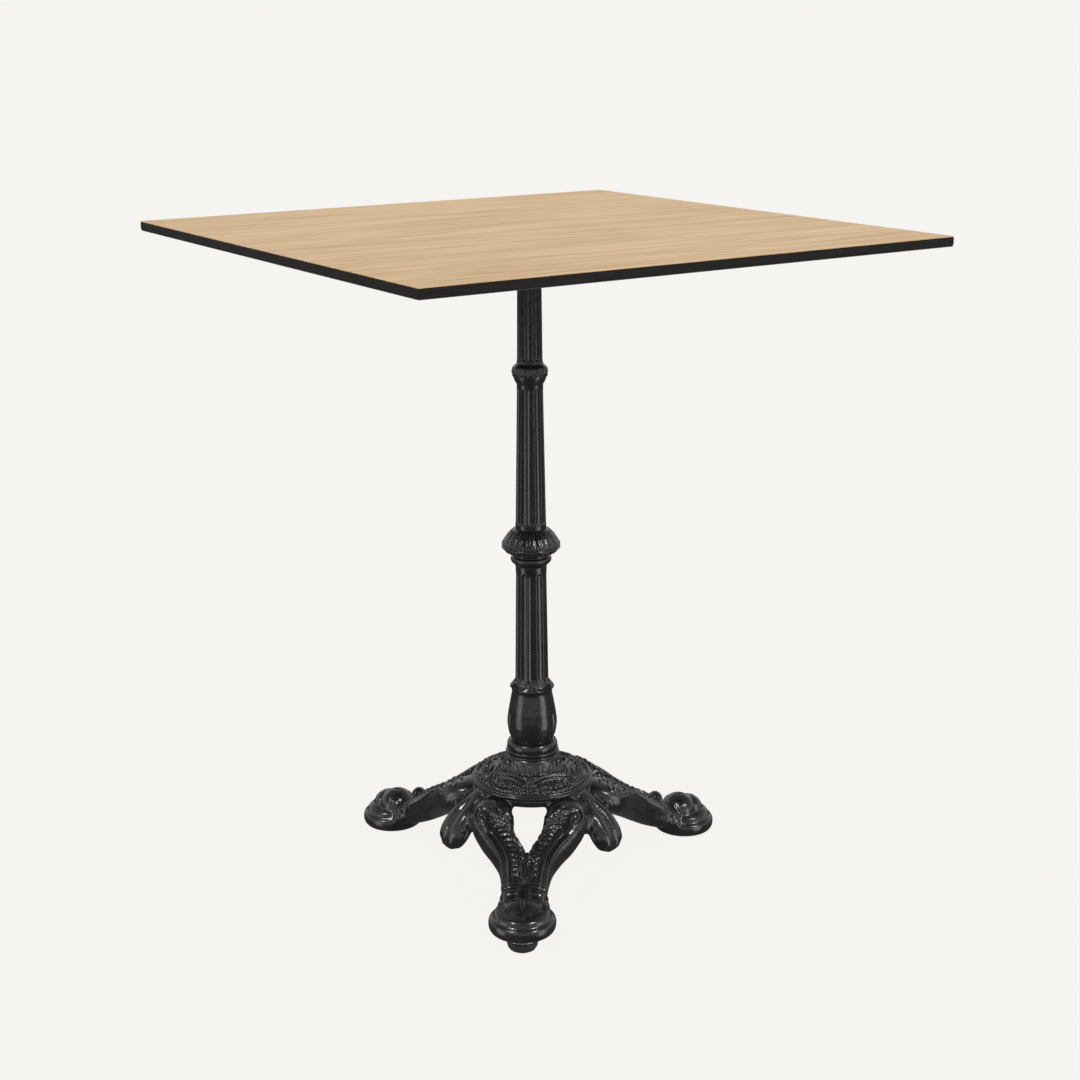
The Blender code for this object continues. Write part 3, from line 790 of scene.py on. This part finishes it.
def leg_solids(lift):
    """Every overlapping shape of one leg, along +X."""
    solids = [Sweep(leg_branch(side, lift), 60).solid() for side in (-1, 1)]
    rise = lift * BALL_RISE
    flat = lift * BALL_SQUASH
    solids += [
        Sweep(leg_spine(lift), 20).solid(),
        turned_solid(FOOT_OUTLINE, (FOOT_RADIUS, 0, lift)),
        ball_solid((FOOT_RADIUS - 0.006, 0, 0.0240 + rise), (0.0190, 0.0215, 0.0188 - flat)),
        ball_solid((FOOT_RADIUS + 0.008, 0, 0.0218 + rise), (0.0150, 0.0185, 0.0165 - flat)),
        ball_solid((0.157, 0, 0.0345 + lift * 0.3), (0.0095, 0.0235, 0.0130)),
        ball_solid((0.119, 0, 0.0500 + lift * 0.36), (0.0065, 0.0080, 0.0110)),
        ball_solid((0.1600, 0, 0.0420 + lift * 0.3), (0.0078, 0.0105, 0.0100)),
    ]
    for side in (-1, 1):
        for step in range(4):
            height = 0.0250 - 0.0046 * step + lift * (0.8 + 0.06 * step)
            place = (0.1600 + 0.0075 * step, side * (0.0180 + 0.0016 * step), height)
            solids.append(ball_solid(place, (0.0052, 0.0062, 0.0075), 20, 12))
    return solids


def tongue_solids():
    """A hanging tongue with its twin lobes, and the webs to the legs beside it, along +X."""
    solids = [Sweep(TONGUE, 40).solid()]
    for side in (-1, 1):
        lobe = [
            (0.070, side * 0.0060, 0.0872, 0.0080, 0.0075), (0.082, side * 0.0078, 0.0765, 0.0098, 0.0100),
            (0.0915, side * 0.0090, 0.0640, 0.0108, 0.0116), (0.0985, side * 0.0092, 0.0535, 0.0102, 0.0108),
            (0.1025, side * 0.0086, 0.0470, 0.0074, 0.0078), (0.1042, side * 0.0080, 0.0440, 0.0030, 0.0032),
        ]
        solids.append(Sweep(lobe, 30, 28, 2.1).solid())
    solids += [Sweep(web(side), 20).solid() for side in (-1, 1)]
    return solids


def arm_lines(relief, lift, angle, side):
    """Leaf strokes on the inner band, side ridges, cuffs and knee scroll of one arm of a leg."""
    branch = Sweep(leg_branch(side, lift), 60)
    inward = math.pi if side > 0 else 0.0

    def lay(share, lean, width, height):
        """A line along the arm. lean is 0 on top, 1 on the side of the V and -1 on the outer side."""
        turn = math.pi / 2 + (inward - math.pi / 2) * np.asarray(lean)
        points = branch.point(np.asarray(share), turn)
        relief.add(turned_about_z(points, angle).tolist(), width, height)

    run = np.linspace(0.16, 0.84, 160)
    lay(run, -0.10 + 0.05 * np.sin(run * 30), 0.0013, -0.0010)
    lay(run, np.full(160, 0.94), 0.0016, 0.0012)
    reach = np.linspace(0, 1, 40)
    for stroke in range(15):
        uneven = math.sin(stroke * 12.9 + side * 1.7)
        start = 0.12 + 0.048 * stroke + 0.012 * uneven
        length = 0.135 + 0.045 * math.sin(stroke * 5.3 + side)
        lay(start + length * reach ** 1.3, (0.62 + 0.22 * uneven) * reach, 0.0016, 0.0020)
        lay(start + 0.030 + 0.080 * reach, 0.06 + (0.30 - 0.12 * uneven) * reach, 0.0010, 0.0014)
        lay(start + 0.014 + length * reach, 0.12 + 0.55 * reach, 0.0010, -0.0012)
    outer = np.linspace(0.36, 0.92, 160)
    lay(outer, -0.62 + 0.10 * np.sin(outer * 4), 0.0015, 0.0015)
    lay(outer, -0.36 + 0.06 * np.sin(outer * 4), 0.0012, -0.0009)
    across = np.linspace(-0.75, 0.95, 160)
    for cuff in (0.875, 0.935):
        lay(cuff + 0.012 * np.cos(across * 2), across, 0.0028, 0.0010)
    swirl = np.linspace(0, 1, 120)
    shrink = 1 - 0.88 * swirl
    spin = 0.6 + swirl * 1.35 * math.tau
    lay(0.225 + 0.070 * shrink * np.cos(spin), -0.30 + 0.34 * shrink * np.sin(spin), 0.0015, -0.0017)
    lay(0.225 + 0.098 * shrink * np.cos(spin), -0.30 + 0.47 * shrink * np.sin(spin), 0.0016, 0.0009)


def foot_lines(relief, lift, angle):
    """The ball's cleft and ribs, and the groove round the disc of one foot."""
    rise = lift * BALL_RISE
    flat = lift * BALL_SQUASH
    over = np.linspace(0.15, math.pi - 0.5, 80)
    cleft = np.stack([
        FOOT_RADIUS + 0.0225 * np.cos(over), np.zeros(80), 0.0235 + rise + (0.0185 - flat) * np.sin(over),
    ], axis=1)
    relief.add(turned_about_z(cleft, angle).tolist(), 0.0024, -0.0016)
    for side in (-1, 1):
        rib = np.stack([
            FOOT_RADIUS - 0.004 + 0.0150 * np.cos(over), side * (0.0120 + 0.0060 * np.sin(over)),
            0.0200 + rise + (0.0190 - flat) * np.sin(over),
        ], axis=1)
        relief.add(turned_about_z(rib, angle).tolist(), 0.0020, 0.0010)
    around = np.linspace(0, math.tau, 200)
    groove = np.stack([
        FOOT_RADIUS + 0.0278 * np.cos(around), 0.0278 * np.sin(around), np.full(200, 0.0160 + lift),
    ], axis=1)
    relief.add(turned_about_z(groove, angle).tolist(), 0.0016, -0.0012)


def leg_lines(relief, lift, angle):
    """Every line of one leg: its two arms, the blades on its spine and its foot."""
    for side in (-1, 1):
        arm_lines(relief, lift, angle, side)
    spine = Sweep(leg_spine(lift), 20)
    for blade in (-1, 0, 1):
        share = np.linspace(0.10, 0.60 - 0.12 * abs(blade), 60)
        points = spine.point(share, math.pi / 2 - blade * (0.35 + 0.5 * share))
        relief.add(turned_about_z(points, angle).tolist(), 0.0019, 0.0019)
    foot_lines(relief, lift, angle)


def tongue_lines(relief, angle):
    """Cleft, roped edges, side grooves and cross band of one tongue."""
    tongue = Sweep(TONGUE, 40)

    def lay(share, turn, width, height):
        points = tongue.point(np.asarray(share), np.asarray(turn))
        relief.add(turned_about_z(points, angle).tolist(), width, height)

    run = np.linspace(0.32, 0.95, 120)
    lay(run, np.full(120, math.pi / 2), 0.0026, -0.0012)
    for side in (-1, 1):
        edge = np.linspace(0.10, 0.70, 100)
        lay(edge, math.pi / 2 + side * (1.15 + 0.10 * np.sin(edge * 60)), 0.0015, 0.0012)
        lay(edge, math.pi / 2 + side * (0.55 + 0.35 * edge), 0.0012, -0.0008)
    band = np.linspace(0.35, math.pi - 0.35, 120)
    lay(np.full(120, 0.80), band, 0.0014, 0.0008)


def hub_solid():
    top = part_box("tripod_base")[1].z
    under = top - 0.0107
    outline = [(0, under), (0.0580, under), (0.0655, under + 0.004), (0.0655, top), (0, top)]
    return turned_solid(outline, steps=96)


def joined(solids):
    """(points, faces) of all the solids together."""
    points, faces, start = [], [], 0
    for skin, quads in solids:
        points.append(np.asarray(skin))
        faces += [tuple(index + start for index in face) for face in quads]
        start += len(skin)
    return np.concatenate(points), faces


def evaluated(source, name):
    """A plain mesh object of the source with its modifiers applied. The source is removed."""
    graph = bpy.context.evaluated_depsgraph_get()
    mesh = bpy.data.meshes.new_from_object(source.evaluated_get(graph))
    bpy.data.objects.remove(source)
    mesh.name = name
    made = bpy.data.objects.new(name, mesh)
    bpy.context.scene.collection.objects.link(made)
    return made


def cut_round(target, radius, bottom, top, at):
    """Adds a round cut to the target, and hands back the cutter."""
    outline = [(0, bottom), (radius, bottom), (radius, top), (0, top)]
    points, faces = turned_solid(outline, at, 48)
    cutter = mesh_object("cutter", points.tolist(), faces, None)
    modifier = target.modifiers.new("cut", "BOOLEAN")
    modifier.operation = "DIFFERENCE"
    modifier.object = cutter
    return cutter


def apply_relief(casting, relief):
    """Raises the skin by the relief's heights, except round the hub and on the flat soles."""
    count = len(casting.data.vertices)
    skin, normals = np.zeros(count * 3), np.zeros(count * 3)
    casting.data.vertices.foreach_get("co", skin)
    casting.data.vertices.foreach_get("normal", normals)
    skin, normals = skin.reshape(-1, 3), normals.reshape(-1, 3)
    reach = np.hypot(skin[:, 0], skin[:, 1])
    worked = (reach > HUB_PLAIN_RADIUS) & (skin[:, 2] > SOLE_PLAIN_HEIGHT)
    skin[worked] += normals[worked] * relief.heights(skin[worked])[:, None]
    skin[:, 2] = np.maximum(skin[:, 2], 0.0)
    casting.data.vertices.foreach_set("co", skin.reshape(-1))
    casting.data.update()


def cut_bores(casting):
    """The casting with the tie rod's bore and the two steps of the glide's bore, under a new name."""
    glide = (FRONT_FOOT.x, FRONT_FOOT.y, 0)
    cutters = [
        cut_round(casting, BORE, 0.05, 0.12, (0, 0, 0)),
        cut_round(casting, GLIDE_BUSH_BORE, 0.0, GLIDE_BUSH_TOP, glide),
        cut_round(casting, GLIDE_STEM_BORE, FOOT_LIFT + 0.0150, GLIDE_STEM_TOP, glide),
    ]
    finished = evaluated(casting, "tripod_casting")
    for cutter in cutters:
        bpy.data.objects.remove(cutter)
    return finished


def weld_slivers(made):
    """Welds the hairline faces that the cuts leave, so that the casting stays one closed skin."""
    bm = bmesh.new()
    bm.from_mesh(made.data)
    bmesh.ops.remove_doubles(bm, verts=bm.verts, dist=SLIVER)
    bmesh.ops.dissolve_degenerate(bm, edges=bm.edges, dist=SLIVER)
    bmesh.ops.triangulate(bm, faces=[face for face in bm.faces if len(face.verts) > 4])
    bm.to_mesh(made.data)
    bm.free()


def make_tripod():
    solids = [hub_solid()]
    relief = Relief()
    for number, angle in enumerate(LEG_ANGLES):
        lift = FOOT_LIFT if number == 0 else 0.0
        solids += [(turned_about_z(skin, angle), faces) for skin, faces in leg_solids(lift)]
        solids += [(turned_about_z(skin, angle + HALF_LEG_GAP), faces) for skin, faces in tongue_solids()]
        leg_lines(relief, lift, angle)
        tongue_lines(relief, angle + HALF_LEG_GAP)
    points, faces = joined(solids)
    rough = mesh_object("tripod_rough", points.tolist(), faces, None)
    remesh = rough.modifiers.new("remesh", "REMESH")
    remesh.mode = "VOXEL"
    remesh.voxel_size = CASTING_VOXEL
    soften = rough.modifiers.new("soften", "SMOOTH")
    soften.factor = 0.5
    soften.iterations = 7
    casting = evaluated(rough, "tripod_skin")
    apply_relief(casting, relief)
    finished = cut_bores(casting)
    weld_slivers(finished)
    finished.data.materials.clear()
    finished.data.materials.append(IRON)
    finished.data.shade_smooth()
    stand_for(finished, TABLE_BODY, "black_cast_iron", "tripod_base")


# ================================================================ studio
FLOOR_GLOW = (0.882, 0.874, 0.851, 1.0)
HORIZON = (0.913, 0.905, 0.880, 1.0)


def make_floor():
    """A pale backlit floor, which keeps only a faint shadow."""
    size = 900.0
    points = [(-size, -size, 0), (size, -size, 0), (size, size, 0), (-size, size, 0)]
    floor = mesh_object("studio_floor", points, [(0, 1, 2, 3)], None, False)
    material, _, _, shader = node_material("studio_floor")
    shader.inputs["Base Color"].default_value = (0.030, 0.030, 0.029, 1.0)
    shader.inputs["Roughness"].default_value = 0.9
    shader.inputs["Specular IOR Level"].default_value = 0.0
    shader.inputs["Emission Color"].default_value = FLOOR_GLOW
    shader.inputs["Emission Strength"].default_value = 1.0
    floor.data.materials.append(material)
    floor.visible_glossy = False
    floor.visible_shadow = False


def studio_direction(azimuth, elevation):
    """A unit vector towards an azimuth measured from the camera's side and an elevation, in degrees."""
    turn = CAMERA_ANGLE + math.radians(azimuth)
    rise = math.radians(elevation)
    return Vector((math.cos(turn) * math.cos(rise), math.sin(turn) * math.cos(rise), math.sin(rise)))


def make_sun(name, azimuth, elevation, strength, spread, glossy=True):
    light = bpy.data.lights.new(name, "SUN")
    light.energy = strength
    light.angle = math.radians(spread)
    made = bpy.data.objects.new(name, light)
    made.rotation_mode = "QUATERNION"
    made.rotation_quaternion = studio_direction(azimuth, elevation).to_track_quat("Z", "Y")
    made.visible_glossy = glossy
    bpy.context.scene.collection.objects.link(made)


def make_softbox(name, azimuth, distance, low, high, width, radiance):
    """An upright lit panel beside the table, out of the camera's sight."""
    light = bpy.data.lights.new(name, "AREA")
    light.shape = "RECTANGLE"
    light.size = width
    light.size_y = high - low
    light.energy = radiance * math.pi * width * (high - low)
    made = bpy.data.objects.new(name, light)
    outwards = studio_direction(azimuth, 0)
    made.location = outwards * distance + Vector((0, 0, (low + high) / 2))
    made.rotation_mode = "QUATERNION"
    made.rotation_quaternion = outwards.to_track_quat("Z", "Y")
    made.visible_camera = False
    bpy.context.scene.collection.objects.link(made)


def make_world():
    """A studio with a bright low backdrop, a dim ceiling and a dark ground."""
    world = bpy.data.worlds.new("studio")
    world.use_nodes = True
    nodes, links = world.node_tree.nodes, world.node_tree.links
    background = nodes["Background"]
    direction = nodes.new("ShaderNodeTexCoord").outputs["Generated"]
    split = nodes.new("ShaderNodeSeparateXYZ")
    links.new(direction, split.inputs["Vector"])
    levels = [(0.02, HORIZON[:3]), (0.30, grey(0.80)), (0.62, grey(0.30))]
    height = ramp(nodes, links, split.outputs["Z"], levels)
    shade = nodes.new("ShaderNodeMix")
    shade.data_type = "RGBA"
    shade.inputs["A"].default_value = (0.10, 0.10, 0.10, 1.0)
    above = nodes.new("ShaderNodeMath")
    above.operation = "GREATER_THAN"
    above.inputs[1].default_value = -0.03
    links.new(split.outputs["Z"], above.inputs[0])
    links.new(above.outputs["Value"], shade.inputs["Factor"])
    links.new(height.outputs["Color"], shade.inputs["B"])
    links.new(shade.outputs["Result"], background.inputs["Color"])
    background.inputs["Strength"].default_value = 1.0
    bpy.context.scene.world = world


def make_camera():
    forward = Vector((
        math.sin(CAMERA_YAW) * math.cos(CAMERA_PITCH),
        math.cos(CAMERA_YAW) * math.cos(CAMERA_PITCH), -math.sin(CAMERA_PITCH),
    ))
    right = Vector((math.cos(CAMERA_YAW), -math.sin(CAMERA_YAW), 0.0))
    up = right.cross(forward)
    rolled_right = right * math.cos(CAMERA_ROLL) + up * math.sin(CAMERA_ROLL)
    rolled_up = up * math.cos(CAMERA_ROLL) - right * math.sin(CAMERA_ROLL)
    basis = Matrix((rolled_right, rolled_up, -forward)).transposed().to_4x4()
    basis.translation = Vector((0.0, -CAMERA_DISTANCE, CAMERA_HEIGHT))
    camera = bpy.data.objects.new("camera", bpy.data.cameras.new("camera"))
    camera.data.lens = CAMERA_LENS
    camera.data.sensor_width = 36.0
    camera.data.clip_end = 200.0
    camera.matrix_world = Matrix.Rotation(CAMERA_ANGLE + math.pi / 2, 4, "Z") @ basis
    bpy.context.scene.collection.objects.link(camera)
    bpy.context.scene.camera = camera


dress_frame_nodes()
make_upper_column()
make_lower_column()
make_mid_collar()
make_base_dome()
make_tripod()
make_floor()
make_world()
make_sun("key_left", -48, 50, 1.00, 7)
make_sun("key_right", 52, 46, 1.00, 7)
make_sun("top_light", 170, 76, 0.66, 40, glossy=False)
make_softbox("softbox_left", -64, 1.15, -0.50, 0.40, 0.50, 1.9)
make_softbox("softbox_right", 58, 1.15, -0.50, 0.40, 0.50, 2.5)
make_camera()
bpy.context.scene.view_settings.view_transform = "Standard"
